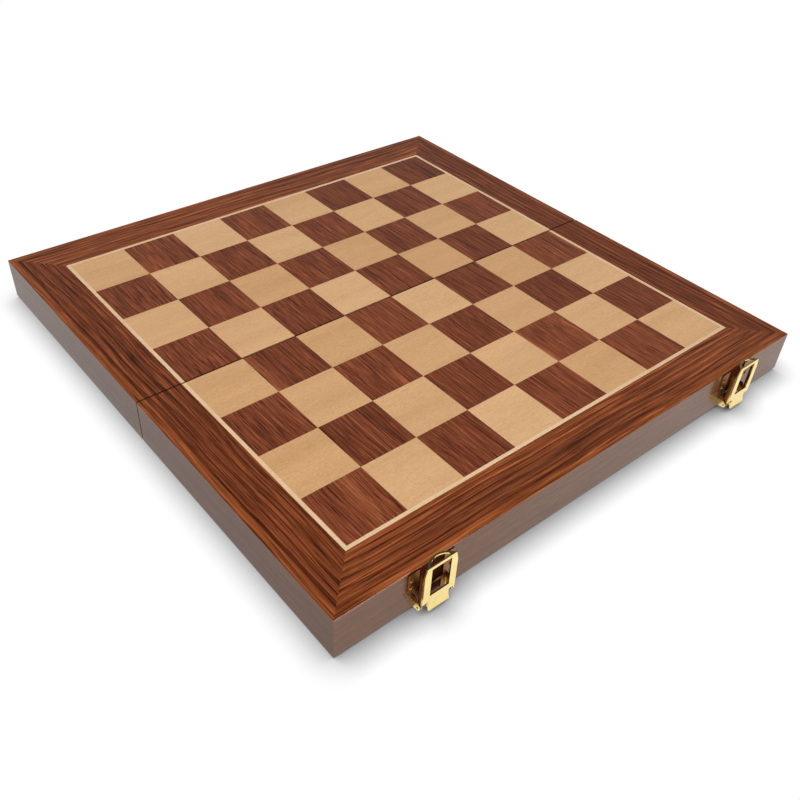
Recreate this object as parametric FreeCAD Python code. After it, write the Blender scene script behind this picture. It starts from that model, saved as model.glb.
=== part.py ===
"""Folding chess set: a hinged case whose two trays open flat into a chessboard, with the men stored inside.

Row frame, millimetres: +X along the seam, +Y from the latched tray to the other one, +Z up. The origin is the
middle of the bounding box at the lowest point, which is the underside of the rim pads and of the hinge knuckles.
The case lies open, playing surface up, with its two latch hasps swung up in front of the near wall.

A tray is drawn in (x, u): u is the distance from the seam plane, and side is -1 for the near tray, +1 for the far one.
"""

import FreeCAD, Part
import math
import os

V = FreeCAD.Vector

# ---- driving dimensions -------------------------------------------------------------------------------------------
CASE_WIDTH = 381.0            # along the seam
TRAY_DEPTH = 190.9            # one tray, from its seam face to its outer face
WALL_HEIGHT = 28.85           # rim to playing surface
WALL_T = 9.0
SQUARE = 39.7
STRING_W = 2.4                # light line round the field
VENEER_T = 0.6
PANEL_T = 4.0
REBATE_W = 4.5                # how far the panel sits into each wall
SEAM_GAP = 1.2                # between the two seam walls, room for two hinge leaves
EDGE_CHAMFER = 0.35

KNUCKLE_R = 1.2
HINGE_PIN_R = 0.55
HINGE_BORE_R = 0.60
LEAF_T = 0.5
LEAF_H = 14.0
HINGE_X = 118.0               # hinge middle, left and right of centre
HINGE_L = 40.0
KNUCKLES = 5
KNUCKLE_PLAY = 0.1            # taken off a knuckle's end where it meets its neighbour
HINGE_NAIL_R = 0.7
HINGE_NAIL_HEAD_R = 1.35
HINGE_NAIL_L = 6.5
HINGE_NAIL_X = (-13.0, 0.0, 13.0)
HINGE_NAIL_Z = 9.0            # above the hinge axis
RIM_CLEARANCE = 0.15          # rim above the hinge axis, so the closed rims stay apart by twice this
PAD_R = 3.0
PAD_X = {"near": 166.0, "far": 152.0}         # the two trays' pads miss each other when the case is shut
SOCKET_DEPTH = 1.6
SOCKET_PLAY = 0.5

SHEET_T = 0.8                 # latch and strike brass
LATCH_X = 130.8
HASP_HALF_W = 10.7
HASP_TOP_HALF_W = 9.4
HASP_FACE_D = 7.5             # outside of the hasp's face, measured out from the wall
HASP_TOP = 34.8               # measured up from the rim, like all latch heights
HASP_SHOULDER = 29.3
HASP_FOOT = 8.4
FLANGE_TOP = 28.2
RING_REACH = 5.4              # how far the finger ring turns back towards the wall
RING_BAND_SIDE, RING_BAND_BACK = 1.7, 1.1
WINDOW_HALF_W = 6.4
WINDOW_LOW, WINDOW_HIGH = 12.6, 32.8
LIP_HALF_W = 6.8
LIP_TIP_D, LIP_TIP_Z = 8.4, 1.5
FLANGE_BACK_D = 4.1
PIVOT_D, PIVOT_Z = 5.0, 4.8
PIVOT_BOSS_R = 1.4
HASP_PIN_R = 0.7
PIN_FIT = 0.02                # the pin is tight in the ears and turns in the hasp
PIN_PLAY = 0.08
EAR_OUT = 11.9                # outer faces of the wall plate's ears, from the middle of the latch
EAR_TOP = 11.2
WING_IN, WING_OUT = 8.2, 15.4
WING_FOOT, PLATE_TOP = 14.6, 28.0
PLATE_FOOT = 2.0
BAR_LOW, BAR_HIGH = 9.7, 11.8                 # the plate's cross bar, between the lip's gap and the wings' gap
LIP_GAP_HALF_W = 7.6
LATCH_NAIL_X = 13.2
LATCH_NAIL_Z = (17.4, 22.8)
STRIKE_OUT = 4.4              # how far the strike's hook stands out
STRIKE_HALF_W = 9.5
STRIKE_FOOT, STRIKE_TOP = 9.0, 25.4
HOOK_HALF_W = 4.0
STRIKE_NAIL_X = 7.0
STRIKE_NAIL_Z = (11.6, 22.6)
NAIL_R = 0.65
NAIL_L = 7.0
NAIL_DOME_R = 1.6
NAIL_DOME_H = 0.75

LINING_PLAY = 0.2             # between the lining or the insert and the walls
FELT_T = 1.0
INSERT_T = 20.0
SLOT_PLAY = 0.5
OFFICER_SLOT = 65.0
PAWN_SLOT = 36.0
SLOT_U = (28.0, 122.0)        # seam-side end of the officers' and of the pawns' slots

# ---- derived places -----------------------------------------------------------------------------------------------
SEAM_Y = (LIP_TIP_D - STRIKE_OUT) / 2         # keeps the bounding box centred on Y
AXIS_Z = KNUCKLE_R
RIM_Z = AXIS_Z + RIM_CLEARANCE
TOP_Z = RIM_Z + WALL_HEIGHT
SKIN_Z = TOP_Z - VENEER_T                     # underside of the veneers
PANEL_Z = SKIN_Z - PANEL_T
FELT_Z = PANEL_Z - FELT_T
INSERT_Z = FELT_Z - INSERT_T
HALF_W = CASE_WIDTH / 2
U_SEAM = SEAM_GAP / 2
U_OUT = U_SEAM + TRAY_DEPTH
FIELD_X = 4 * SQUARE
FIELD_U = U_SEAM + 4 * SQUARE
STRING_X = FIELD_X + STRING_W
STRING_U = FIELD_U + STRING_W
CAVITY_X = HALF_W - WALL_T
CAVITY_U = (U_SEAM + WALL_T, U_OUT - WALL_T)

SIDES = {"near": -1, "far": 1}
parts = {}


def keep(name, *shapes):
    """Adds separate solids to a node."""
    parts.setdefault(name, []).extend(shapes)


# ---- basic solids -------------------------------------------------------------------------------------------------
def box(x0, x1, y0, y1, z0, z1):
    low = V(min(x0, x1), min(y0, y1), min(z0, z1))
    return Part.makeBox(abs(x1 - x0), abs(y1 - y0), abs(z1 - z0), low)


def tray_box(x0, x1, u0, u1, z0, z1, side):
    return box(x0, x1, SEAM_Y + side * u0, SEAM_Y + side * u1, z0, z1)


def tray_prism(outline, z0, z1, side):
    """A flat plate from an (x, u) outline."""
    corners = [V(x, SEAM_Y + side * u, z0) for x, u in outline]
    face = Part.Face(Part.makePolygon(corners + corners[:1]))
    return face.extrude(V(0, 0, z1 - z0))


def rod(radius, start, direction, length):
    return Part.makeCylinder(radius, length, start, direction)


def fuse(first, *others):
    return first.multiFuse(list(others)).removeSplitter()


def wall_point(side, x, d, z):
    """A point d outside a tray's outer wall and z above its rim."""
    return V(x, SEAM_Y + side * (U_OUT + d), RIM_Z + z)


def wall_box(side, x0, x1, d0, d1, z0, z1):
    a, b = wall_point(side, x0, d0, z0), wall_point(side, x1, d1, z1)
    return box(a.x, b.x, a.y, b.y, a.z, b.z)


def wall_section(side, x0, x1, outline):
    """A (d, z) outline in front of a tray's outer wall, drawn out from x0 to x1."""
    corners = [wall_point(side, x0, d, z) for d, z in outline]
    return Part.Face(Part.makePolygon(corners + corners[:1])).extrude(V(x1 - x0, 0, 0))


# ---- wooden trays -------------------------------------------------------------------------------------------------
def panel_blank(side):
    reach = WALL_T - REBATE_W
    return tray_box(-HALF_W + reach, HALF_W - reach, U_SEAM + reach, U_OUT - reach, PANEL_Z, SKIN_Z, side)


def tray_walls(side):
    """Four mitred walls, rebated for the panel."""
    x_in, (u_in, u_far) = CAVITY_X, CAVITY_U
    outlines = {
        "outer_wall": [(-HALF_W, U_OUT), (HALF_W, U_OUT), (x_in, u_far), (-x_in, u_far)],
        "seam_wall": [(-HALF_W, U_SEAM), (HALF_W, U_SEAM), (x_in, u_in), (-x_in, u_in)],
        "left_wall": [(-HALF_W, U_SEAM), (-x_in, u_in), (-x_in, u_far), (-HALF_W, U_OUT)],
        "right_wall": [(HALF_W, U_SEAM), (x_in, u_in), (x_in, u_far), (HALF_W, U_OUT)],
    }
    blank = panel_blank(side)
    return {name: tray_prism(outline, RIM_Z, SKIN_Z, side).cut(blank) for name, outline in outlines.items()}


def chamfer_outer_edges(plate, side):
    """Breaks the top edges that lie on the outside of the case."""
    outer_y = SEAM_Y + side * U_OUT
    edges = []
    for edge in plate.Edges:
        a, b = edge.Vertexes[0].Point, edge.Vertexes[-1].Point
        on_top = min(a.z, b.z) > TOP_Z - 1e-6
        on_side = abs(abs(a.x) - HALF_W) < 1e-6 and abs(abs(b.x) - HALF_W) < 1e-6
        on_end = abs(a.y - outer_y) < 1e-6 and abs(b.y - outer_y) < 1e-6
        if on_top and (on_side or on_end):
            edges.append(edge)
    return plate.makeChamfer(EDGE_CHAMFER, edges)


def frame_strips(x_in, u_in, x_out, u_out):
    """Outlines of the three mitred strips that run round a tray's field: outer end, left and right."""
    return {
        "end": [(-x_out, u_out), (x_out, u_out), (x_in, u_in), (-x_in, u_in)],
        "left": [(-x_out, U_SEAM), (-x_in, U_SEAM), (-x_in, u_in), (-x_out, u_out)],
        "right": [(x_out, U_SEAM), (x_in, U_SEAM), (x_in, u_in), (x_out, u_out)],
    }


def playing_surface(tray, side):
    for place, outline in frame_strips(STRING_X, STRING_U, HALF_W, U_OUT).items():
        keep(f"{tray}_border_{place}", chamfer_outer_edges(tray_prism(outline, SKIN_Z, TOP_Z, side), side))
    for outline in frame_strips(FIELD_X, FIELD_U, STRING_X, STRING_U).values():
        keep(f"{tray}_stringing", tray_prism(outline, SKIN_Z, TOP_Z, side))
    for file in range(8):
        for step in range(4):
            rank = 3 - step if side < 0 else 4 + step
            colour = "dark" if (file + rank) % 2 == 0 else "light"
            x0, u0 = -FIELD_X + file * SQUARE, U_SEAM + step * SQUARE
            keep(f"{tray}_{colour}_squares", tray_box(x0, x0 + SQUARE, u0, u0 + SQUARE, SKIN_Z, TOP_Z, side))


# ---- hinges -------------------------------------------------------------------------------------------------------
def hinge_nail(x, z, side):
    """A countersunk brass nail through a leaf into the seam wall."""
    face_y = SEAM_Y + side * (U_SEAM - LEAF_T)
    out = V(0, side, 0)
    head = Part.makeCone(HINGE_NAIL_HEAD_R, HINGE_NAIL_R, LEAF_T, V(x, face_y, z), out)
    return fuse(head, rod(HINGE_NAIL_R, V(x, face_y + side * LEAF_T, z), out, HINGE_NAIL_L))


def hinge_leaf(x_mid, side):
    """One leaf: the plate flat on the seam wall, and its own knuckles round the axis."""
    length = HINGE_L / KNUCKLES
    start = x_mid - HINGE_L / 2
    own = [k for k in range(KNUCKLES) if (k % 2 == 0) == (side < 0)]
    y0, y1 = SEAM_Y + side * (U_SEAM - LEAF_T), SEAM_Y + side * U_SEAM
    above = AXIS_Z + KNUCKLE_R + 0.3
    leaf = box(start, start + HINGE_L, y0, y1, above, AXIS_Z + LEAF_H)
    for k in own:
        x0 = start + k * length + (KNUCKLE_PLAY if k else 0)
        x1 = start + (k + 1) * length - (KNUCKLE_PLAY if k < KNUCKLES - 1 else 0)
        tube = rod(KNUCKLE_R, V(x0, SEAM_Y, AXIS_Z), V(1, 0, 0), x1 - x0)
        neck = box(x0, x1, y0, y1, AXIS_Z + 0.3, above)
        leaf = fuse(leaf, tube, neck)
    bore = rod(HINGE_BORE_R, V(start - 1, SEAM_Y, AXIS_Z), V(1, 0, 0), HINGE_L + 2)
    nails = [hinge_nail(x_mid + dx, AXIS_Z + HINGE_NAIL_Z, side) for dx in HINGE_NAIL_X]
    return leaf.cut(bore), nails


def add_hinges(walls):
    for place, x_mid in (("left", -HINGE_X), ("right", HINGE_X)):
        for tray, side in SIDES.items():
            leaf, nails = hinge_leaf(x_mid, side)
            for nail in nails:
                leaf = leaf.cut(nail)
                walls[tray]["seam_wall"] = walls[tray]["seam_wall"].cut(nail)
            notch = rod(KNUCKLE_R + 0.35, V(x_mid - HINGE_L / 2 - 0.5, SEAM_Y, AXIS_Z), V(1, 0, 0), HINGE_L + 1)
            walls[tray]["seam_wall"] = walls[tray]["seam_wall"].cut(notch)
            keep(f"{tray}_hinge_leaf_{place}", leaf)
            keep(f"{tray}_hinge_nails", *nails)
        keep("hinge_pins", rod(HINGE_PIN_R, V(x_mid - HINGE_L / 2, SEAM_Y, AXIS_Z), V(1, 0, 0), HINGE_L))


# ---- rim pads -----------------------------------------------------------------------------------------------------
def rim_discs(x_mid, radius, z0, z1, side):
    """Four upright discs on the middle of the seam wall and of the outer wall."""
    rows = (U_SEAM + WALL_T / 2, U_OUT - WALL_T / 2)
    places = [V(sign * x_mid, SEAM_Y + side * u, z0) for u in rows for sign in (-1, 1)]
    return [rod(radius, place, V(0, 0, 1), z1 - z0) for place in places]


def add_rim_pads(walls):
    """The pads carry the open board; shut, each one sinks into a socket in the other tray's rim."""
    for tray, other in (("near", "far"), ("far", "near")):
        keep(f"{tray}_rim_pads", *rim_discs(PAD_X[tray], PAD_R, 0, RIM_Z, SIDES[tray]))
        for socket in rim_discs(PAD_X[tray], PAD_R + SOCKET_PLAY, RIM_Z - 1, RIM_Z + SOCKET_DEPTH, SIDES[other]):
            for name in ("seam_wall", "outer_wall"):
                walls[other][name] = walls[other][name].cut(socket)


# ---- latches ------------------------------------------------------------------------------------------------------
def round_nail(side, x, z):
    """A dome-headed nail through the brass sheet into the outer wall."""
    inward = V(0, -side, 0)
    shank = rod(NAIL_R, wall_point(side, x, SHEET_T, z), inward, NAIL_L)
    dome = Part.makeSphere(NAIL_DOME_R, wall_point(side, x, SHEET_T + NAIL_DOME_H - NAIL_DOME_R, z))
    front = wall_box(side, x - 2, x + 2, SHEET_T, SHEET_T + 2, z - 2, z + 2)
    return fuse(dome.common(front), shank)


def corner_edges(plate):
    """The short edges that run through a sheet at its corners."""
    return [e for e in plate.Edges if e.BoundBox.YLength > SHEET_T - 0.01 and e.BoundBox.XLength < 0.01
            and e.BoundBox.ZLength < 0.01]


def latch_plate(x_mid, side):
    """The H-shaped plate nailed to the near wall, with two ears that hold the hasp's pin."""
    upper = wall_box(side, x_mid - WING_OUT, x_mid + WING_OUT, 0, SHEET_T, WING_FOOT, PLATE_TOP)
    lower = wall_box(side, x_mid - EAR_OUT, x_mid + EAR_OUT, 0, SHEET_T, PLATE_FOOT, WING_FOOT)
    plate = fuse(upper, lower)
    plate = plate.makeFillet(1.2, corner_edges(plate))
    between_wings = wall_box(side, x_mid - WING_IN, x_mid + WING_IN, -1, SHEET_T + 1, BAR_HIGH, PLATE_TOP + 1)
    under_lip = wall_box(side, x_mid - LIP_GAP_HALF_W, x_mid + LIP_GAP_HALF_W, -1, SHEET_T + 1, 0, BAR_LOW)
    plate = plate.cut(between_wings.fuse(under_lip))
    for sign in (-1, 1):
        x0 = x_mid + sign * EAR_OUT - (SHEET_T if sign > 0 else 0)
        ear = wall_section(side, x0, x0 + SHEET_T, [
            (0.2, 3.0), (PIVOT_D, PIVOT_Z - PIVOT_BOSS_R), (PIVOT_D + 0.9, PIVOT_Z + 1.1), (2.6, EAR_TOP),
            (0.2, EAR_TOP),
        ])
        boss = rod(PIVOT_BOSS_R, wall_point(side, x0, PIVOT_D, PIVOT_Z), V(1, 0, 0), SHEET_T)
        plate = fuse(plate, ear, boss)
    pin_hole = rod(HASP_PIN_R + PIN_FIT, wall_point(side, x_mid - 20, PIVOT_D, PIVOT_Z), V(1, 0, 0), 40)
    nails = [round_nail(side, x_mid + sign * LATCH_NAIL_X, z) for sign in (-1, 1) for z in LATCH_NAIL_Z]
    return plate.cut(pin_hole), nails


def hasp(x_mid, side):
    """The swinging hasp: a flanged face with a window, a finger ring at its top and a lip below the pin."""
    inner_d = HASP_FACE_D - SHEET_T
    face_outline = [
        (-HASP_HALF_W, HASP_FOOT), (HASP_HALF_W, HASP_FOOT), (HASP_HALF_W, HASP_SHOULDER),
        (HASP_TOP_HALF_W, HASP_TOP), (-HASP_TOP_HALF_W, HASP_TOP), (-HASP_HALF_W, HASP_SHOULDER),
    ]
    corners = [wall_point(side, x_mid + x, inner_d, z) for x, z in face_outline]
    face = Part.Face(Part.makePolygon(corners + corners[:1])).extrude(V(0, side * SHEET_T, 0))
    lip = wall_section(side, x_mid - LIP_HALF_W, x_mid + LIP_HALF_W, [
        (inner_d, 11.0), (HASP_FACE_D, 11.0), (HASP_FACE_D, 5.6), (LIP_TIP_D, LIP_TIP_Z + 0.4),
        (LIP_TIP_D - 0.7, LIP_TIP_Z), (inner_d, 4.6),
    ])
    curl = rod(PIVOT_BOSS_R + 0.5, wall_point(side, x_mid - LIP_HALF_W, PIVOT_D, PIVOT_Z), V(1, 0, 0),
               2 * LIP_HALF_W)
    flanges = []
    for sign in (-1, 1):
        x0 = x_mid + sign * HASP_HALF_W - (SHEET_T if sign > 0 else 0)
        flanges.append(wall_section(side, x0, x0 + SHEET_T, [
            (PIVOT_D + 0.4, PIVOT_Z - PIVOT_BOSS_R), (HASP_FACE_D, HASP_FOOT), (HASP_FACE_D, 27.0),
            (FLANGE_BACK_D, FLANGE_TOP), (FLANGE_BACK_D, 8.0), (PIVOT_D - PIVOT_BOSS_R, PIVOT_Z),
        ]))
        flanges.append(rod(PIVOT_BOSS_R, wall_point(side, x0, PIVOT_D, PIVOT_Z), V(1, 0, 0), SHEET_T))
    ring = finger_ring(x_mid, side)
    window = wall_box(side, x_mid - WINDOW_HALF_W, x_mid + WINDOW_HALF_W, inner_d - 0.5, HASP_FACE_D + 0.5,
                      WINDOW_LOW, WINDOW_HIGH)
    pin_hole = rod(HASP_PIN_R + PIN_PLAY, wall_point(side, x_mid - 20, PIVOT_D, PIVOT_Z), V(1, 0, 0), 40)
    return fuse(face.cut(window), lip, curl, ring, *flanges).cut(pin_hole)


def finger_ring(x_mid, side):
    """A flat half-oval ring that turns back from the top of the hasp's face."""
    def half_oval(half_w, reach):
        ends = [wall_point(side, x_mid + s * half_w, HASP_FACE_D, HASP_TOP - SHEET_T) for s in (-1, 1)]
        mid = wall_point(side, x_mid, HASP_FACE_D - reach, HASP_TOP - SHEET_T)
        arc = Part.Arc(ends[0], mid, ends[1]).toShape()
        face = Part.Face(Part.Wire([arc, Part.LineSegment(ends[1], ends[0]).toShape()]))
        return face.extrude(V(0, 0, SHEET_T))

    outer = half_oval(HASP_TOP_HALF_W, RING_REACH)
    hole = half_oval(HASP_TOP_HALF_W - RING_BAND_SIDE, RING_REACH - RING_BAND_BACK)
    face_side = wall_box(side, x_mid - 12, x_mid + 12, HASP_FACE_D - SHEET_T, HASP_FACE_D + 1, 30, 40)
    return outer.cut(hole.cut(face_side))


def strike(x_mid, side):
    """The plate on the far wall with the hook that the hasp's window drops over when the case is shut."""
    plate = wall_box(side, x_mid - STRIKE_HALF_W, x_mid + STRIKE_HALF_W, 0, SHEET_T, STRIKE_FOOT, STRIKE_TOP)
    plate = plate.makeFillet(2.0, corner_edges(plate))
    hook = wall_section(side, x_mid - HOOK_HALF_W, x_mid + HOOK_HALF_W, [
        (0.3, 16.0), (1.4, 16.0), (2.1, 20.2), (STRIKE_OUT, 21.4), (STRIKE_OUT, 22.4), (1.4, 21.5), (0.8, 17.4),
        (0.3, 17.4),
    ])
    nails = [round_nail(side, x_mid + sign * STRIKE_NAIL_X, z) for sign in (-1, 1) for z in STRIKE_NAIL_Z]
    return fuse(plate, hook), nails


def add_latches(walls):
    for place, x_mid in (("left", -LATCH_X), ("right", LATCH_X)):
        plate, nails = latch_plate(x_mid, SIDES["near"])
        for nail in nails:
            plate = plate.cut(nail)
            walls["near"]["outer_wall"] = walls["near"]["outer_wall"].cut(nail)
        keep(f"latch_plate_{place}", plate)
        keep("latch_plate_nails", *nails)
        keep(f"hasp_{place}", hasp(x_mid, SIDES["near"]))
        pin_start = wall_point(SIDES["near"], x_mid - EAR_OUT - 0.3, PIVOT_D, PIVOT_Z)
        keep("hasp_pins", rod(HASP_PIN_R, pin_start, V(1, 0, 0), 2 * EAR_OUT + 0.6))

        plate, nails = strike(x_mid, SIDES["far"])
        for nail in nails:
            plate = plate.cut(nail)
            walls["far"]["outer_wall"] = walls["far"]["outer_wall"].cut(nail)
        keep(f"strike_plate_{place}", plate)
        keep("strike_plate_nails", *nails)


# ---- chessmen, each drawn standing on the origin ------------------------------------------------------------------
MEN = {  # base radius, height
    "king": (11.0, 63.0),
    "queen": (10.6, 56.0),
    "bishop": (10.0, 48.0),
    "knight": (10.0, 43.0),
    "rook": (9.8, 38.0),
    "pawn": (8.8, 33.5),
}
BASE_FELT_T = 0.8


def outline_face(start, steps, y=0):
    """A closed face in an XZ plane: a step (x, z) is a straight run, and (xm, zm, x, z) an arc through (xm, zm)."""
    first = V(start[0], y, start[1])
    here, edges = first, []
    for step in steps:
        end = V(step[-2], y, step[-1])
        if len(step) == 2:
            edges.append(Part.LineSegment(here, end).toShape())
        else:
            edges.append(Part.Arc(here, V(step[0], y, step[1]), end).toShape())
        here = end
    edges.append(Part.LineSegment(here, first).toShape())
    return Part.Face(Part.Wire(edges))


def turned(steps):
    """Revolves a profile that starts on the axis at the foot."""
    return outline_face((0, 0), steps).revolve(V(0, 0, 0), V(0, 0, 1), 360)


def foot(r, neck, neck_z):
    """The base moulding and the waisted stem up to the neck."""
    return [
        (0.95 * r, 0), (1.0 * r, 0.17 * r, 0.93 * r, 0.34 * r), (0.80 * r, 0.38 * r),
        (0.74 * r, 0.64 * r, 0.58 * r, 0.78 * r), (0.50 * r, 0.82 * r),
        (neck * 1.06 + 0.04 * r, 0.82 * r + 0.5 * (neck_z - 0.82 * r), neck, neck_z),
    ]


def collar(neck, z, width, thick):
    """A turned ring with a rounded edge."""
    return [(neck + width - 0.5 * thick, z), (neck + width, z + 0.5 * thick, neck + width - 0.5 * thick, z + thick)]


def ball(start_r, z, radius):
    """A ball that closes the profile on the axis."""
    centre = z + math.sqrt(radius ** 2 - start_r ** 2)
    return [(start_r, z), (radius, centre, 0, centre + radius)]


def pawn():
    r, h = MEN["pawn"]
    neck, ball_r = 0.32 * r, 5.3
    neck_z = h - 2 * ball_r - 1.2
    return turned(foot(r, neck, neck_z) + collar(neck, neck_z, 2.6, 1.6) + ball(neck, neck_z + 1.8, ball_r))


def rook():
    r, h = MEN["rook"]
    neck, neck_z, rim = 0.52 * r, 0.66 * h, 7.2
    wall_top = turned(foot(r, neck, neck_z) + collar(neck, neck_z, 1.5, 1.6) + [
        (neck, neck_z + 2.4), (neck + 0.4, neck_z + 4.5, rim, neck_z + 6.0), (rim, h), (rim - 2.4, h),
        (rim - 2.4, h - 3.4), (0, h - 3.4)])
    slots = [box(-1.1, 1.1, 0, rim + 1, h - 2.8, h + 1) for _ in range(4)]
    for k, slot in enumerate(slots):
        slot.rotate(V(0, 0, 0), V(0, 0, 1), 90 * k + 45)
    return wall_top.cut(slots[0].multiFuse(slots[1:]))


def bishop():
    r, h = MEN["bishop"]
    neck, neck_z = 0.30 * r, 0.60 * h
    body = turned(foot(r, neck, neck_z) + collar(neck, neck_z, 3.3, 1.5) + [
        (neck + 1.2, neck_z + 1.5)] + collar(neck, neck_z + 1.5, 2.0, 1.2) + [
        (neck, neck_z + 2.9), (5.0, neck_z + 7.4, 1.5, h - 3.2)] + ball(1.0, h - 3.1, 1.6))
    cut = box(-0.5, 0.5, -8, 8, 0, 9)
    cut.rotate(V(0, 0, 0), V(0, 1, 0), 32)
    cut.translate(V(1.4, 0, neck_z + 9.0))
    return body.cut(cut)


def crown(r, h, top, cup_r):
    """The stem, three collars and the flared cup that the king and the queen share."""
    neck, neck_z = 0.31 * r, 0.62 * h
    return foot(r, neck, neck_z) + collar(neck, neck_z, 3.6, 1.6) + [(neck + 1.4, neck_z + 1.6)] + collar(
        neck, neck_z + 1.6, 2.3, 1.2) + [(neck, neck_z + 3.0), (neck + 0.5, neck_z + 0.55 * (top - neck_z),
                                                             cup_r, top - 1.2), (cup_r, top)]


def queen():
    r, h = MEN["queen"]
    top, cup_r = h - 4.2, 6.1
    body = turned(crown(r, h, top, cup_r) + [(cup_r - 1.5, top), (cup_r - 2.6, top - 1.2), (2.2, top - 0.6),
                                             (1.3, top + 0.6)] + ball(1.1, top + 0.7, 1.9))
    notch = Part.makeSphere(1.15, V(cup_r - 0.3, 0, top + 0.35))
    for k in range(8):
        bite = notch.copy()
        bite.rotate(V(0, 0, 0), V(0, 0, 1), 45 * k)
        body = body.cut(bite)
    return body


def king():
    r, h = MEN["king"]
    top, cup_r = h - 9.0, 6.6
    body = turned(crown(r, h, top, cup_r) + [(cup_r * 0.62, top + 2.0, 1.6, top + 2.6), (1.6, top + 3.2),
                                             (0, top + 3.2)])
    upright = box(-1.0, 1.0, -0.9, 0.9, top + 2.8, h)
    bar = box(-2.9, 2.9, -0.9, 0.9, h - 4.3, h - 2.3)
    return fuse(body, upright, bar)


def knight():
    """A lathe-turned foot with a carved head; the horse looks towards +X."""
    r, h = MEN["knight"]
    seat = 0.82 * r + 1.6
    base = turned(foot(r, 0.66 * r, seat)[:-1] + [(0.66 * r, seat), (0, seat)])
    low = seat - 0.4
    profile = outline_face((-6.0, low), [
        (-8.0, 24.0, -3.2, 37.5), (-1.4, h), (0.2, 39.4), (4.4, 37.0, 8.2, 30.6), (9.2, 28.2, 7.2, 26.4),
        (5.0, 27.0, 2.8, 25.2), (2.4, 20.5, 5.2, 15.5), (6.5, 12.6, 6.2, low),
    ], y=-4.0)
    head = profile.extrude(V(0, 8.0, 0))
    thin = box(-12, 12, -3.0, 3.0, 0.7 * h, h + 1)
    lower = box(-12, 12, -4.0, 4.0, 0, 0.7 * h)
    return fuse(base, head.common(fuse(thin, lower)))


MAKE = {"king": king, "queen": queen, "bishop": bishop, "knight": knight, "rook": rook, "pawn": pawn}
OFFICERS = ["rook", "knight", "bishop", "queen", "king", "bishop", "knight", "rook"]
PLURAL = {"king": "king", "queen": "queen", "bishop": "bishops", "knight": "knights", "rook": "rooks",
          "pawn": "pawns"}


def lay_down(shape, x, u_foot, radius, side):
    """Lays a standing man on the felt, with its foot towards the outer wall."""
    laid = shape.copy()
    laid.rotate(V(0, 0, 0), V(1, 0, 0), 90 * side)
    laid.translate(V(x, SEAM_Y + side * u_foot, FELT_Z - radius - 0.1))
    return laid


def add_men(tray, side, colour, standing):
    pitch = 2 * CAVITY_X / 8
    rows = [(OFFICERS, SLOT_U[0], OFFICER_SLOT), (["pawn"] * 8, SLOT_U[1], PAWN_SLOT)]
    for men, u_start, slot_len in rows:
        edges = [(-CAVITY_X + LINING_PLAY, None)]
        for k, man in enumerate(men):
            radius, height = MEN[man]
            x = -CAVITY_X + (k + 0.5) * pitch
            half = radius + SLOT_PLAY / 2
            edges[-1] = (edges[-1][0], x - half)
            edges.append((x + half, None))
            u_foot = u_start + slot_len - 0.3
            keep(f"{colour}_{PLURAL[man]}", lay_down(standing[man], x, u_foot - BASE_FELT_T, radius, side))
            disc = Part.makeCylinder(radius * 0.93, BASE_FELT_T, V(0, 0, -BASE_FELT_T))
            keep(f"{colour}_base_felts", lay_down(disc, x, u_foot - BASE_FELT_T, radius, side))
            spare = slot_len - height - BASE_FELT_T - 1.5
            if spare > 2:
                keep(f"{tray}_insert_ribs",
                     tray_box(x - half, x + half, u_start, u_start + spare, INSERT_Z, FELT_Z, side))
        edges[-1] = (edges[-1][0], CAVITY_X - LINING_PLAY)
        for x0, x1 in edges:
            keep(f"{tray}_insert_ribs", tray_box(x0, x1, u_start, u_start + slot_len, INSERT_Z, FELT_Z, side))


def add_insert_rails(tray, side):
    """The three full-width rails of the insert, before, between and after the two rows of slots."""
    reach = CAVITY_X - LINING_PLAY
    stops = [CAVITY_U[0] + LINING_PLAY, SLOT_U[0], SLOT_U[0] + OFFICER_SLOT, SLOT_U[1], SLOT_U[1] + PAWN_SLOT,
             CAVITY_U[1] - LINING_PLAY]
    for u0, u1 in zip(stops[::2], stops[1::2]):
        keep(f"{tray}_insert_rails", tray_box(-reach, reach, u0, u1, INSERT_Z, FELT_Z, side))


def felt_lining(side):
    """The sheet of felt under the top panel, wall to wall."""
    reach = CAVITY_X - LINING_PLAY
    return tray_box(-reach, reach, CAVITY_U[0] + LINING_PLAY, CAVITY_U[1] - LINING_PLAY, FELT_Z, PANEL_Z, side)


# ---- the whole set ------------------------------------------------------------------------------------------------
def main():
    walls = {tray: tray_walls(side) for tray, side in SIDES.items()}
    add_hinges(walls)
    add_rim_pads(walls)
    add_latches(walls)
    standing = {man: make() for man, make in MAKE.items()}
    for tray, side in SIDES.items():
        for name, wall in walls[tray].items():
            keep(f"{tray}_{name}", wall)
        keep(f"{tray}_top_panel", panel_blank(side))
        playing_surface(tray, side)
        keep(f"{tray}_felt_lining", felt_lining(side))
        add_insert_rails(tray, side)
        add_men(tray, side, "light" if side < 0 else "dark", standing)

    os.makedirs("parts", exist_ok=True)
    for name, solids in parts.items():
        shape = solids[0] if len(solids) == 1 else Part.makeCompound(solids)
        problem = "" if shape.isValid() and len(shape.Solids) == len(solids) else "  <-- check"
        print(f"{name}: {len(shape.Solids)} solids, {shape.Volume / 1000:.2f} cm3{problem}")
        shape.exportStep(f"parts/{name}.step")
    print(len(parts), "nodes")


main()
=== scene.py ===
import math

import bpy
from mathutils import Matrix, Vector


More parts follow.
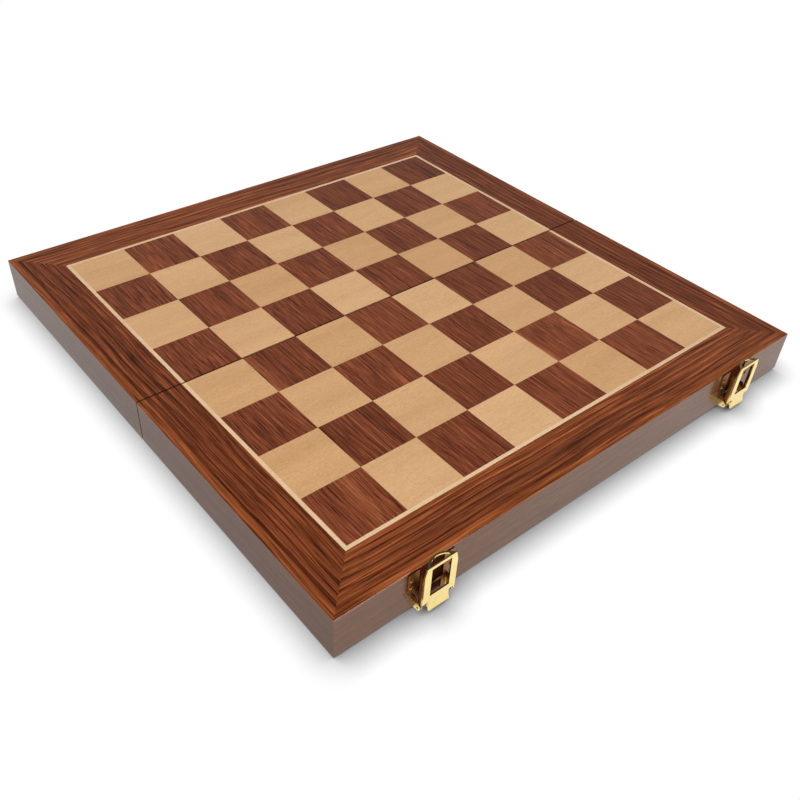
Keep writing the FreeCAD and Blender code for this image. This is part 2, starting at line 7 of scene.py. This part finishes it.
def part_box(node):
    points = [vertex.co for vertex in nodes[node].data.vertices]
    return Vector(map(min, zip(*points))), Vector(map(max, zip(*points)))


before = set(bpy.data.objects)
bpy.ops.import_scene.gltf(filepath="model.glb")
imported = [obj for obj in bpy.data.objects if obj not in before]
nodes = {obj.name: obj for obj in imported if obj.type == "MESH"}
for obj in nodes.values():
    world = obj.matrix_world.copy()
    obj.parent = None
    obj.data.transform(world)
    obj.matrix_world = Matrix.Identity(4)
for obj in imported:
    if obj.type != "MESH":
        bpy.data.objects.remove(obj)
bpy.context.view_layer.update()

# ---- places, all worked out from the CAD frame (metres) ------------------------------------------
near_seam_low, near_seam_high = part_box("near_seam_wall")
far_seam_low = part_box("far_seam_wall")[0]
SEAM_Y = (near_seam_high.y + far_seam_low.y) / 2
SEAM_GAP = far_seam_low.y - near_seam_high.y
RIM_Z = near_seam_low.z
HALF_WIDTH = near_seam_high.x
OUTER_REACH = SEAM_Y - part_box("near_outer_wall")[0].y
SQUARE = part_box("near_dark_squares")[1].x / 4
BOARD_CENTRE = Vector((0, SEAM_Y, RIM_Z))
HASP_LOW, HASP_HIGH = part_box("hasp_right")

# ---- camera: where the photographer stood, in board widths from the board's centre ---------------
CAMERA_AZIMUTH = math.radians(-42.11)
CAMERA_ELEVATION = math.radians(40.02)
CAMERA_ROLL = math.radians(3.685)
CAMERA_DISTANCE = 1.65006
CAMERA_SIDEWAYS = 0.02013
CAMERA_DOWN = 0.12961
CAMERA_LENS_MM = 39.88
SENSOR_MM = 36.0
NEAREST_SEEN = 0.05

# ---- studio values (metres; a pair is where a change starts and where it is complete) ------------
ROOM_GREYS = ((0.0, 1.0), (0.10, 0.22), (0.45, 0.18), (0.80, 0.05))     # height in the room, lightness
FLOOR_SIZE = 3.0
SHADOW_REACH = 0.018                # how far out from the case its contact shadow goes
SHADOW_DEPTH = 1.15                 # how dark it gets, where 1 is as dark as the corner is closed in
SHADOW_LEAN = (-0.14, 0.20, 1.0)    # the side that it falls to
SHADOW_IN_MIRRORS = 0.25            # how much of it the lacquer's reflections show
FULL_SHADOW = (0.75, 0.95)          # a shadow this deep shows in full everywhere, as in the seam
HIDDEN_REACH = 0.06                 # what is this close below the floor clears the floor over it
HIDDEN_RANGE = (0.90, 1.0)
OCCLUSION_SAMPLES = 16

# ---- where one look gives way to the next (metres, pairs as above) -------------------------------
HASP_SHADE_SIDES = (-0.0002, 0.0016)   # the sides of the painted shade on the wall behind the hasp, out from the hasp's sides
HASP_SHADE_FOOT = (0.001, 0.003)       # its lower edge, above the rim
WALL_SKIN = 0.001                   # how deep into the outer wall it reaches
SHADED_BRASS_FROM = HASP_LOW.y + 0.0016     # further back than this the hasp's brass is painted dark brown, a painted shade
SHADED_BRASS_DEPTH = 0.0010
SHADED_BRASS_SIDES = (0.0107, 0.0110)       # out from the latch's middle
SHADED_BRASS_FULL_WIDTH = (0.0065, 0.0085)  # above the rim, where the sides get the painted shade too
SHADED_BRASS_TOP = (0.0290, 0.0310)         # above the rim, where the brass is bright again
BAND_INNER = (0.0058, 0.0046)       # the border's orange outer band, in from the edge
LINE_INNER = (0.0074, 0.0062)       # the dark line along the band
BAND_WANDER = 0.0014

# ---- edges that catch the light (metres) ---------------------------------------------------------
WALL_EDGE = 0.0003
HASP_EDGE = 0.00026
PLATE_EDGE = 0.00012
SHARP_ANGLE = math.radians(40)      # an edge that turns by more than this is sharp


def make_camera():
    """A camera that looks at the board from the photographer's side, rolled as it was held."""
    width = 2 * HALF_WIDTH
    a, e, roll = CAMERA_AZIMUTH, CAMERA_ELEVATION, CAMERA_ROLL
    back = Vector((math.sin(a) * math.cos(e), -math.cos(a) * math.cos(e), math.sin(e)))
    level_right = Vector((math.cos(a), math.sin(a), 0))
    level_up = back.cross(level_right)
    right = math.cos(roll) * level_right + math.sin(roll) * level_up
    up = back.cross(right)
    place = BOARD_CENTRE + width * (CAMERA_DISTANCE * back + CAMERA_SIDEWAYS * right - CAMERA_DOWN * up)
    data = bpy.data.cameras.new("camera")
    data.lens = CAMERA_LENS_MM
    data.sensor_width = SENSOR_MM
    data.clip_start = NEAREST_SEEN
    camera = bpy.data.objects.new("camera", data)
    camera.matrix_world = Matrix.Translation(place) @ Matrix((right, up, back)).transposed().to_4x4()
    bpy.context.scene.collection.objects.link(camera)
    bpy.context.scene.camera = camera


def place_stops(elements, stops):
    """Gives a colour ramp these (position, colour) stops, which are in order."""
    while len(elements) < len(stops):
        elements.new(0.5)
    for element, (position, colour) in zip(elements, stops):
        element.position = position
        element.color = (*colour, 1.0)


# ---- studio --------------------------------------------------------------------------------------
def make_world():
    """A white table all round and a dimmer grey room above it. The camera sees plain white behind."""
    world = bpy.data.worlds.new("studio")
    world.use_nodes = True
    tree = world.node_tree
    background = tree.nodes["Background"]
    coordinates = tree.nodes.new("ShaderNodeTexCoord")
    split = tree.nodes.new("ShaderNodeSeparateXYZ")
    ramp = tree.nodes.new("ShaderNodeValToRGB")
    tree.links.new(coordinates.outputs["Generated"], split.inputs[0])
    tree.links.new(split.outputs["Z"], ramp.inputs["Fac"])
    seen = tree.nodes.new("ShaderNodeMix")
    seen.data_type = "RGBA"
    tree.links.new(tree.nodes.new("ShaderNodeLightPath").outputs["Is Camera Ray"], seen.inputs["Factor"])
    tree.links.new(ramp.outputs["Color"], seen.inputs[6])
    seen.inputs[7].default_value = (1, 1, 1, 1)
    tree.links.new(seen.outputs[2], background.inputs["Color"])
    place_stops(ramp.color_ramp.elements, [(height, (grey,) * 3) for height, grey in ROOM_GREYS])
    background.inputs["Strength"].default_value = 1.0
    bpy.context.scene.world = world


def softbox(name, azimuth, elevation, distance, width, height, power, glossy=False):
    """An area light facing the board from that direction. The lacquer mirrors it only if glossy is set."""
    a, e = math.radians(azimuth), math.radians(elevation)
    away = Vector((math.sin(a) * math.cos(e), -math.cos(a) * math.cos(e), math.sin(e)))
    data = bpy.data.lights.new(name, "AREA")
    data.shape = "RECTANGLE"
    data.size, data.size_y = width, height
    data.energy = power
    lamp = bpy.data.objects.new(name, data)
    lamp.location = BOARD_CENTRE + distance * away
    lamp.rotation_mode = "QUATERNION"
    lamp.rotation_quaternion = (-away).to_track_quat("-Z", "Y")
    lamp.visible_glossy = glossy
    bpy.context.scene.collection.objects.link(lamp)


def make_floor():
    """A clear sheet with the soft shadow of what stands close above it. It hides nothing that is below it."""
    bpy.ops.mesh.primitive_plane_add(size=FLOOR_SIZE, location=(0, 0, 0))
    floor = bpy.context.object
    floor.name = "floor"
    floor.visible_shadow = False
    floor.visible_diffuse = False
    g = Graph("floor")
    near, below = (g.tree.nodes.new("ShaderNodeAmbientOcclusion") for _ in range(2))
    below.inside = True
    for node, reach in ((near, SHADOW_REACH), (below, HIDDEN_REACH)):
        node.samples = OCCLUSION_SAMPLES
        node.inputs["Distance"].default_value = reach
    g.link(g.combine(*SHADOW_LEAN), near.inputs["Normal"])
    shadow = g.math("MULTIPLY", g.math("SUBTRACT", 1.0, near.outputs["AO"]), SHADOW_DEPTH, clamp=True)
    clear = g.range(below.outputs["AO"], *HIDDEN_RANGE)
    front = g.math("SUBTRACT", 1.0, g.tree.nodes.new("ShaderNodeNewGeometry").outputs["Backfacing"])
    camera_ray = g.tree.nodes.new("ShaderNodeLightPath").outputs["Is Camera Ray"]
    seen = g.range(camera_ray, 0, 1, SHADOW_IN_MIRRORS, 1)
    weight = g.math("MAXIMUM", seen, g.range(shadow, *FULL_SHADOW))
    amount = g.math("MULTIPLY", g.math("MULTIPLY", shadow, clear), g.math("MULTIPLY", front, weight))
    dark, glass, blend = (g.tree.nodes.new("ShaderNode" + kind) for kind in (
        "Emission", "BsdfTransparent", "MixShader"))
    dark.inputs["Color"].default_value = (0, 0, 0, 1)
    g.link(amount, blend.inputs["Fac"])
    g.link(glass.outputs[0], blend.inputs[1])
    g.link(dark.outputs[0], blend.inputs[2])
    g.link(blend.outputs[0], g.tree.nodes["Material Output"].inputs["Surface"])
    floor.data.materials.append(g.material)


# ---- material building blocks --------------------------------------------------------------------
class Graph:
    """A material's node tree, with short calls for the nodes used here."""

    def __init__(self, name):
        self.material = bpy.data.materials.new(name)
        self.material.use_nodes = True
        self.tree = self.material.node_tree
        self.surface = self.tree.nodes["Principled BSDF"]
        coordinates = self.tree.nodes.new("ShaderNodeTexCoord")
        self.place = coordinates.outputs["Object"]

    def link(self, output, socket):
        self.tree.links.new(output, socket)

    def feed(self, socket, value):
        """Links the socket to an output, or sets it to a plain value."""
        if isinstance(value, bpy.types.NodeSocket):
            self.link(value, socket)
        else:
            socket.default_value = value

    def math(self, operation, a, b=0.0, clamp=False):
        node = self.tree.nodes.new("ShaderNodeMath")
        node.operation = operation
        node.use_clamp = clamp
        self.feed(node.inputs[0], a)
        self.feed(node.inputs[1], b)
        return node.outputs[0]

    def vector(self, operation, a, b):
        node = self.tree.nodes.new("ShaderNodeVectorMath")
        node.operation = operation
        self.feed(node.inputs[0], a)
        self.feed(node.inputs[1], b)
        return node.outputs[0]

    def split(self, vector):
        node = self.tree.nodes.new("ShaderNodeSeparateXYZ")
        self.link(vector, node.inputs[0])
        return node.outputs

    def combine(self, x, y, z):
        node = self.tree.nodes.new("ShaderNodeCombineXYZ")
        for socket, value in zip(node.inputs, (x, y, z)):
            self.feed(socket, value)
        return node.outputs[0]

    def noise(self, vector, scale, detail=2.0, roughness=0.5, distortion=0.0):
        node = self.tree.nodes.new("ShaderNodeTexNoise")
        self.link(vector, node.inputs["Vector"])
        node.inputs["Scale"].default_value = scale
        node.inputs["Detail"].default_value = detail
        node.inputs["Roughness"].default_value = roughness
        node.inputs["Distortion"].default_value = distortion
        return node.outputs["Fac"]

    def white_noise(self, vector):
        node = self.tree.nodes.new("ShaderNodeTexWhiteNoise")
        self.link(vector, node.inputs["Vector"])
        return node.outputs["Value"], node.outputs["Color"]

    def ramp(self, value, stops):
        node = self.tree.nodes.new("ShaderNodeValToRGB")
        self.link(value, node.inputs["Fac"])
        place_stops(node.color_ramp.elements, stops)
        return node.outputs["Color"]

    def range(self, value, low, high, to_low=0.0, to_high=1.0):
        node = self.tree.nodes.new("ShaderNodeMapRange")
        self.link(value, node.inputs["Value"])
        for socket, number in zip(list(node.inputs)[1:5], (low, high, to_low, to_high)):
            socket.default_value = number
        return node.outputs["Result"]

    def mix(self, blend, amount, a, b):
        node = self.tree.nodes.new("ShaderNodeMix")
        node.data_type = "RGBA"
        node.blend_type = blend
        self.feed(node.inputs["Factor"], amount)
        for socket, value in zip(node.inputs[6:8], (a, b)):
            self.feed(socket, (*value, 1.0) if isinstance(value, tuple) else value)
        return node.outputs[2]

    def bump(self, height, strength, distance):
        node = self.tree.nodes.new("ShaderNodeBump")
        self.link(height, node.inputs["Height"])
        node.inputs["Strength"].default_value = strength
        node.inputs["Distance"].default_value = distance
        return node.outputs["Normal"]

    def set(self, **values):
        """Feeds the surface's sockets, named with _ for a space, and returns the finished material."""
        for name, value in values.items():
            self.feed(self.surface.inputs[name.replace("_", " ")], value)
        return self.material


def grain_space(g, along, offset=None, stretch=30.0, warp=0.0012):
    """Object space squeezed along the grain, so that round noise turns into long fibres, and bent."""
    place = g.place if offset is None else g.vector("ADD", g.place, offset)
    slow = g.vector("MULTIPLY", place, (9.0, 9.0, 9.0))
    wander = g.range(g.noise(slow, 1.0, detail=1.0), 0.3, 0.7, -warp, warp)
    x, y, z = g.split(place)
    if along == "X":
        return g.combine(g.math("DIVIDE", x, stretch), g.math("ADD", y, wander), g.math("ADD", z, wander))
    return g.combine(g.math("ADD", x, wander), g.math("DIVIDE", y, stretch), g.math("ADD", z, wander))


def square_index(g):
    """A vector that is the same all over one square of the board, and different on each."""
    x, y, _ = g.split(g.place)
    column = g.math("FLOOR", g.math("DIVIDE", x, SQUARE))
    from_seam = g.math("SUBTRACT", y, SEAM_Y)
    inside = g.math("SUBTRACT", g.math("ABSOLUTE", from_seam), SEAM_GAP / 2)
    row = g.math("MULTIPLY", g.math("SIGN", from_seam), g.math("ADD", 1.0, g.math("FLOOR", g.math(
        "DIVIDE", inside, SQUARE))))
    return g.combine(column, row, 3.0)


def lacquer(roughness, shine=0.5):
    """Surface values of wiped varnish. Its shine is taken away where painted shade lies on the wood behind
    the hasps.
    """
    return dict(Roughness=roughness, Specular_IOR_Level=shine)


# ---- woods ---------------------------------------------------------------------------------------
def from_latch_middle(g, x):
    """How far along the wall it is to the middle of the nearer latch."""
    return g.math("ABSOLUTE", g.math("SUBTRACT", g.math("ABSOLUTE", x), (HASP_LOW.x + HASP_HIGH.x) / 2))


def painted_shade_behind_hasps(g):
    """1 on the wall under the hasps, where painted shade darkens the wood, and 0 everywhere else."""
    half = (HASP_HIGH.x - HASP_LOW.x) / 2
    x, y, z = g.split(g.place)
    across = g.range(from_latch_middle(g, x), *(half + out for out in HASP_SHADE_SIDES), 1.0, 0.0)
    upward = g.range(z, *(RIM_Z + up for up in HASP_SHADE_FOOT))
    near = g.math("LESS_THAN", y, SEAM_Y - OUTER_REACH + WALL_SKIN)
    return g.math("MULTIPLY", g.math("MULTIPLY", across, upward), near)


def growth_lines(g, fibres, spacing, wander, seed):
    """Slow bands across the grain that darken little by little and then break off, as late wood does."""
    x, y, z = g.split(fibres)
    across = g.math("ADD", g.math("ADD", x, y), z)
    drift = g.math("MULTIPLY", g.noise(fibres, 34.0, detail=2.0, roughness=0.6), wander)
    steps = g.math("ADD", g.math("DIVIDE", across, spacing), drift)
    return g.math("FRACT", g.math("ADD", steps, 50.0 + seed))


def with_edge_band(g, colour, along, fibres, shade):
    """The border's outer edge: an orange band, and the dark line where the darker wood meets it."""
    x, y, _ = g.split(g.place)
    across = g.math("ABSOLUTE", g.math("SUBTRACT", y, SEAM_Y)) if along == "X" else g.math("ABSOLUTE", x)
    edge = OUTER_REACH if along == "X" else HALF_WIDTH
    wander = g.range(g.noise(fibres, 40.0), 0.2, 0.8, -BAND_WANDER, BAND_WANDER)
    wavy = g.math("ADD", across, wander)
    band = g.range(wavy, *(edge - inward for inward in BAND_INNER))
    orange = g.mix("MULTIPLY", 1.0, (0.270, 0.070, 0.017), shade)
    colour = g.mix("MIX", g.math("MULTIPLY", band, 0.60), colour, orange)
    line = g.range(wavy, *(edge - inward for inward in LINE_INNER))
    line = g.math("SUBTRACT", line, band, clamp=True)
    return g.mix("MULTIPLY", g.math("MULTIPLY", line, 0.7), colour, (0.36, 0.28, 0.25))


def walnut(name, along, dark, middle, light, per_square=False, edge_band=False, lines=0.8, streaking=1.0,
           spacing=0.0062, streak_scale=1000.0, gloss=0.15, shine=0.5, shaded=None, seed=0.0):
    """Varnished walnut with its grain along X or Y: bands, growth lines, dark streaks, fine fibres and pores.

    per_square gives each square of the board its own cut and tint. shaded(g) is 1 where painted shade darkens
    the wood and takes away its shine.
    """
    g = Graph(name)
    offset, tint = (seed, 1.7 * seed, 0.4 * seed), None
    if per_square:
        tint, offset = g.white_noise(square_index(g))
    fibres = grain_space(g, along, offset, stretch=46.0)
    bands = g.noise(fibres, 95.0, detail=3.0, roughness=0.6)
    colour = g.ramp(bands, [(0.30, dark), (0.44, middle), (0.58, middle), (0.72, light)])
    ring = growth_lines(g, fibres, spacing, 5.0, seed)
    late = g.ramp(ring, [(0.0, (1.20, 1.22, 1.24)), (0.45, (1.0,) * 3), (0.78, (0.66, 0.60, 0.56)),
                         (0.93, (0.30, 0.25, 0.22)), (0.97, (0.55, 0.50, 0.48)), (1.0, (1.20, 1.22, 1.24))])
    colour = g.mix("MULTIPLY", lines, colour, late)
    streaks = g.noise(fibres, streak_scale, detail=2.0, roughness=0.7)
    shade = g.ramp(streaks, [(0.34, (0.30, 0.26, 0.24)), (0.46, (0.84,) * 3), (0.55, (1.0,) * 3),
                             (0.67, (1.62, 1.74, 1.82))])
    colour = g.mix("MULTIPLY", streaking, colour, shade)
    fine = g.noise(fibres, 2500.0, detail=1.0)
    colour = g.mix("MULTIPLY", 0.8, colour, g.ramp(fine, [(0.3, (0.76,) * 3), (0.7, (1.16,) * 3)]))
    pores = g.noise(grain_space(g, along, offset, stretch=14.0, warp=0.0), 2600.0, detail=0.0)
    pore_mask = g.range(pores, 0.68, 0.78)
    colour = g.mix("MULTIPLY", g.math("MULTIPLY", pore_mask, 0.6), colour, (0.50, 0.42, 0.38))
    if edge_band:
        colour = with_edge_band(g, colour, along, fibres, shade)
    if tint is not None:
        tints = g.ramp(tint, [(0.0, (0.84, 0.82, 0.82)), (1.0, (1.14, 1.13, 1.12))])
        colour = g.mix("MULTIPLY", 1.0, colour, tints)
    if shaded is not None:
        behind = shaded(g)
        # Painted shade behind the hasps: the wood is laid over with dark red-brown and loses its shine.
        colour = g.mix("MIX", behind, colour, (0.090, 0.020, 0.008))
        shine = g.math("MULTIPLY", shine, g.math("SUBTRACT", 1.0, behind))
    height = g.math("SUBTRACT", streaks, g.math("MULTIPLY", pore_mask, 0.6))
    return g.set(Base_Color=colour, Normal=g.bump(height, 0.08, 0.0002), **lacquer(gloss, shine))


def maple(name, along, per_square=True, tone=(0.645, 0.385, 0.190)):
    """Pale, close wood: a faint cloud, hairs along the grain, and small flecks."""
    g = Graph(name)
    offset, tint = (2.0, 5.0, 1.0), None
    if per_square:
        tint, offset = g.white_noise(square_index(g))
    fibres = grain_space(g, along, offset, stretch=12.0)
    cloud = g.noise(fibres, 70.0, detail=3.0)
    cloud = g.ramp(cloud, [(0.30, (0.93, 0.92, 0.90)), (0.72, (1.05, 1.06, 1.08))])
    colour = g.mix("MULTIPLY", 1.0, tone, cloud)
    hairs = g.noise(fibres, 1500.0, detail=1.0)
    colour = g.mix("MULTIPLY", 0.5, colour, g.ramp(hairs, [(0.32, (0.90, 0.88, 0.85)), (0.62, (1.04,) * 3)]))
    mottle = g.noise(g.vector("ADD", g.place, offset), 700.0, detail=3.0, roughness=0.75)
    spots = g.ramp(mottle, [(0.36, (0.90, 0.885, 0.87)), (0.64, (1.06,) * 3)])
    colour = g.mix("MULTIPLY", 0.7, colour, spots)
    flecks = g.range(g.noise(grain_space(g, along, offset, stretch=3.0), 1300.0, detail=0.0), 0.68, 0.76)
    colour = g.mix("MULTIPLY", g.math("MULTIPLY", flecks, 0.35), colour, (0.74, 0.66, 0.58))
    if tint is not None:
        tints = g.ramp(tint, [(0.0, (0.91, 0.87, 0.83)), (1.0, (1.05, 1.08, 1.14))])
        colour = g.mix("MULTIPLY", 1.0, colour, tints)
    return g.set(Base_Color=colour, Normal=g.bump(hairs, 0.05, 0.00015), **lacquer(0.18))


def panel_ply():
    """The unvarnished panel under the veneer."""
    g = Graph("panel_ply")
    fibres = grain_space(g, "X", stretch=18.0)
    grain = g.noise(fibres, 260.0, detail=3.0)
    colour = g.ramp(grain, [(0.3, (0.38, 0.24, 0.12)), (0.7, (0.55, 0.38, 0.21))])
    return g.set(Base_Color=colour, Roughness=0.6)


def turned_wood(name, dark, light, roughness=0.3):
    """Wood on the lathe: the men lie along Y, and so does their grain."""
    g = Graph(name)
    fibres = grain_space(g, "Y", stretch=14.0, warp=0.002)
    rings = g.noise(fibres, 420.0, detail=3.0, roughness=0.6)
    colour = g.ramp(rings, [(0.32, dark), (0.68, light)])
    fine = g.noise(fibres, 2600.0, detail=1.0)
    colour = g.mix("MULTIPLY", 0.6, colour, g.ramp(fine, [(0.3, (0.8,) * 3), (0.7, (1.1,) * 3)]))
    return g.set(Base_Color=colour, Normal=g.bump(fine, 0.08, 0.0001), Roughness=roughness, Coat_Weight=0.35,
                 Coat_Roughness=0.15)


# ---- metal and cloth -----------------------------------------------------------------------------
def brass(name, colour, roughness, shade_from=None):
    """Polished brass. Further back than the given depth it is painted dark brown, a painted shade where the
    latch lies in shadow.
    """
    g = Graph(name)
    cloud = g.noise(g.place, 260.0, detail=3.0)
    tone = g.ramp(cloud, [(0.3, (0.94, 0.92, 0.88)), (0.7, (1.03,) * 3)])
    scratches = g.noise(g.vector("MULTIPLY", g.place, (1.0, 1.0, 0.05)), 5200.0, detail=1.0)
    gloss = g.range(cloud, 0.3, 0.7, roughness * 0.75, roughness * 1.3)
    body = g.mix("MULTIPLY", 1.0, tone, colour)
    if shade_from is not None:
        # Painted shade: brass set back behind the hasp's face is painted dark brown and made rougher.
        x, y, z = g.split(g.place)
        inside_ears = g.range(from_latch_middle(g, x), *SHADED_BRASS_SIDES, 1.0, 0.0)
        above_ears = g.range(z, *(RIM_Z + up for up in SHADED_BRASS_FULL_WIDTH))
        zone = g.math("MAXIMUM", inside_ears, above_ears)
        brass_shade = g.math("MULTIPLY", g.range(y, shade_from, shade_from + SHADED_BRASS_DEPTH), zone)
        brass_shade = g.math("MULTIPLY", brass_shade, g.range(z, *(RIM_Z + up for up in SHADED_BRASS_TOP), 1.0, 0.0))
        body = g.mix("MIX", brass_shade, body, (0.30, 0.115, 0.022))
        gloss = g.math("ADD", gloss, g.math("MULTIPLY", brass_shade, 0.22))
    return g.set(Base_Color=body, Metallic=1.0, Roughness=gloss, Normal=g.bump(scratches, 0.05, 0.00004))


def felt(name, colour, lint):
    """Pressed wool: fuzzy, mottled and matt."""
    g = Graph(name)
    fuzz = g.noise(g.place, 2600.0, detail=4.0, roughness=0.8)
    mottle = g.noise(g.place, 90.0, detail=3.0)
    tone = g.mix("MIX", g.range(fuzz, 0.35, 0.72), colour, lint)
    tone = g.mix("MULTIPLY", 0.5, tone, g.ramp(mottle, [(0.3, (0.78,) * 3), (0.7, (1.12,) * 3)]))
    return g.set(Base_Color=tone, Normal=g.bump(fuzz, 0.5, 0.0004), Roughness=0.95, Sheen_Weight=0.6,
                 Sheen_Roughness=0.5)


def suede(name):
    """Dark leather with its nap up."""
    g = Graph(name)
    nap = g.noise(g.place, 3200.0, detail=3.0, roughness=0.7)
    colour = g.ramp(nap, [(0.3, (0.045, 0.028, 0.018)), (0.7, (0.09, 0.058, 0.04))])
    return g.set(Base_Color=colour, Normal=g.bump(nap, 0.4, 0.0003), Roughness=0.9)


# Dark, middle and light brown of each walnut: the borders, the squares and the case's walls.
END_TONES = ((0.115, 0.029, 0.010), (0.250, 0.064, 0.019), (0.390, 0.112, 0.029))
SIDE_TONES = ((0.085, 0.021, 0.007), (0.190, 0.046, 0.014), (0.310, 0.086, 0.023))
SQUARE_TONES = ((0.130, 0.033, 0.014), (0.205, 0.053, 0.021), (0.290, 0.086, 0.034))
CASE_END_TONES = ((0.172, 0.071, 0.032), (0.205, 0.087, 0.040), (0.240, 0.105, 0.051))
# The side walls' tones are the end walls' made darker: painted shade on the case's left and right walls.
SHADED_CASE_SIDE_TONES = ((0.125, 0.053, 0.027), (0.152, 0.065, 0.033), (0.178, 0.077, 0.040))


def dress_nodes():
    """Gives every CAD node its material, by the ending or the start of its name; the rest is brass."""
    border = dict(edge_band=True, spacing=0.0048)
    case = dict(lines=0.20, streaking=0.20, gloss=0.12)
    end_border = walnut("walnut_border_x", "X", *END_TONES, **border, seed=0.31)
    side_border = walnut("walnut_border_y", "Y", *SIDE_TONES, **border, seed=0.77)
    end_case = walnut("walnut_case_x", "X", *CASE_END_TONES, **case, shine=0.26, shaded=painted_shade_behind_hasps,
                      seed=1.3)
    # Painted shade: the side walls are darker and have less shine than the end walls.
    shaded_side_case = walnut("walnut_case_y_painted_shade", "Y", *SHADED_CASE_SIDE_TONES, **case, shine=0.08, seed=2.1)
    polished = brass("brass_latch", (1.0, 0.79, 0.32), 0.14, shade_from=SHADED_BRASS_FROM)
    by_ending = {
        "_border_end": end_border,
        "_border_left": side_border,
        "_border_right": side_border,
        "_outer_wall": end_case,
        "_seam_wall": end_case,
        "_left_wall": shaded_side_case,
        "_right_wall": shaded_side_case,
        "_dark_squares": walnut("walnut_square", "Y", *SQUARE_TONES, per_square=True, lines=0.30,
                                 spacing=0.0034, streak_scale=1500.0),
        "_light_squares": maple("maple_square", "X"),
        "_stringing": maple("maple_string", "X", per_square=False, tone=(0.73, 0.51, 0.31)),
        "_top_panel": panel_ply(),
        "_felt_lining": felt("green_felt", (0.012, 0.075, 0.030), (0.05, 0.19, 0.085)),
        "_base_felts": felt("base_felt", (0.016, 0.095, 0.038), (0.06, 0.22, 0.10)),
        "_insert_rails": felt("flocked_insert", (0.014, 0.085, 0.034), (0.055, 0.20, 0.09)),
        "_rim_pads": suede("rim_pad"),
        # Painted shade: the nail heads are dark brown, the shade they lie in on the latch plates' wings.
        "_nails": brass("brass_nails", (0.38, 0.165, 0.040), 0.38),
        "_pins": brass("brass_pins", (0.86, 0.62, 0.26), 0.28),
    }
    by_ending["_insert_ribs"] = by_ending["_insert_rails"]
    by_start = {
        "near_hinge_leaf_": brass("brass_hinge", (0.90, 0.63, 0.24), 0.25),
        "strike_plate_": brass("brass_strikes", (0.96, 0.72, 0.28), 0.18),
        "light_": turned_wood("boxwood_men", (0.46, 0.27, 0.10), (0.66, 0.43, 0.19)),
        "dark_": turned_wood("ebonised_men", (0.010, 0.006, 0.004), (0.028, 0.016, 0.010), 0.25),
    }
    by_start["far_hinge_leaf_"] = by_start["near_hinge_leaf_"]
    for name, node in nodes.items():
        matches = [material for ending, material in by_ending.items() if name.endswith(ending)]
        matches += [material for start, material in by_start.items() if name.startswith(start)]
        node.data.materials.clear()
        node.data.materials.append((matches + [polished])[0])


def ease_edges(name, width, segments=2):
    """A small rounding on a CAD node's sharp edges, so that they catch the light."""
    bevel = nodes[name].modifiers.new("eased", "BEVEL")
    bevel.width = width
    bevel.segments = segments
    bevel.limit_method = "ANGLE"
    bevel.angle_limit = SHARP_ANGLE
    bevel.use_clamp_overlap = True


make_camera()
make_world()
make_floor()
# The rim light is where the bevel along the latch side's top edge mirrors it.
softbox("key", azimuth=152, elevation=79, distance=3.0, width=0.8, height=0.8, power=60)
softbox("front", azimuth=-42, elevation=55, distance=1.2, width=0.6, height=0.6, power=5.5)
softbox("rim", azimuth=19.3, elevation=26.6, distance=2.0, width=0.55, height=0.16, power=1.6, glossy=True)
dress_nodes()
for side in ("near", "far"):
    for wall in ("outer", "seam", "left", "right"):
        ease_edges(f"{side}_{wall}_wall", WALL_EDGE)
for hand in ("left", "right"):
    ease_edges("hasp_" + hand, HASP_EDGE, segments=3)
    ease_edges("latch_plate_" + hand, PLATE_EDGE)
    ease_edges("strike_plate_" + hand, PLATE_EDGE)

bpy.context.scene.view_settings.view_transform = "Standard"
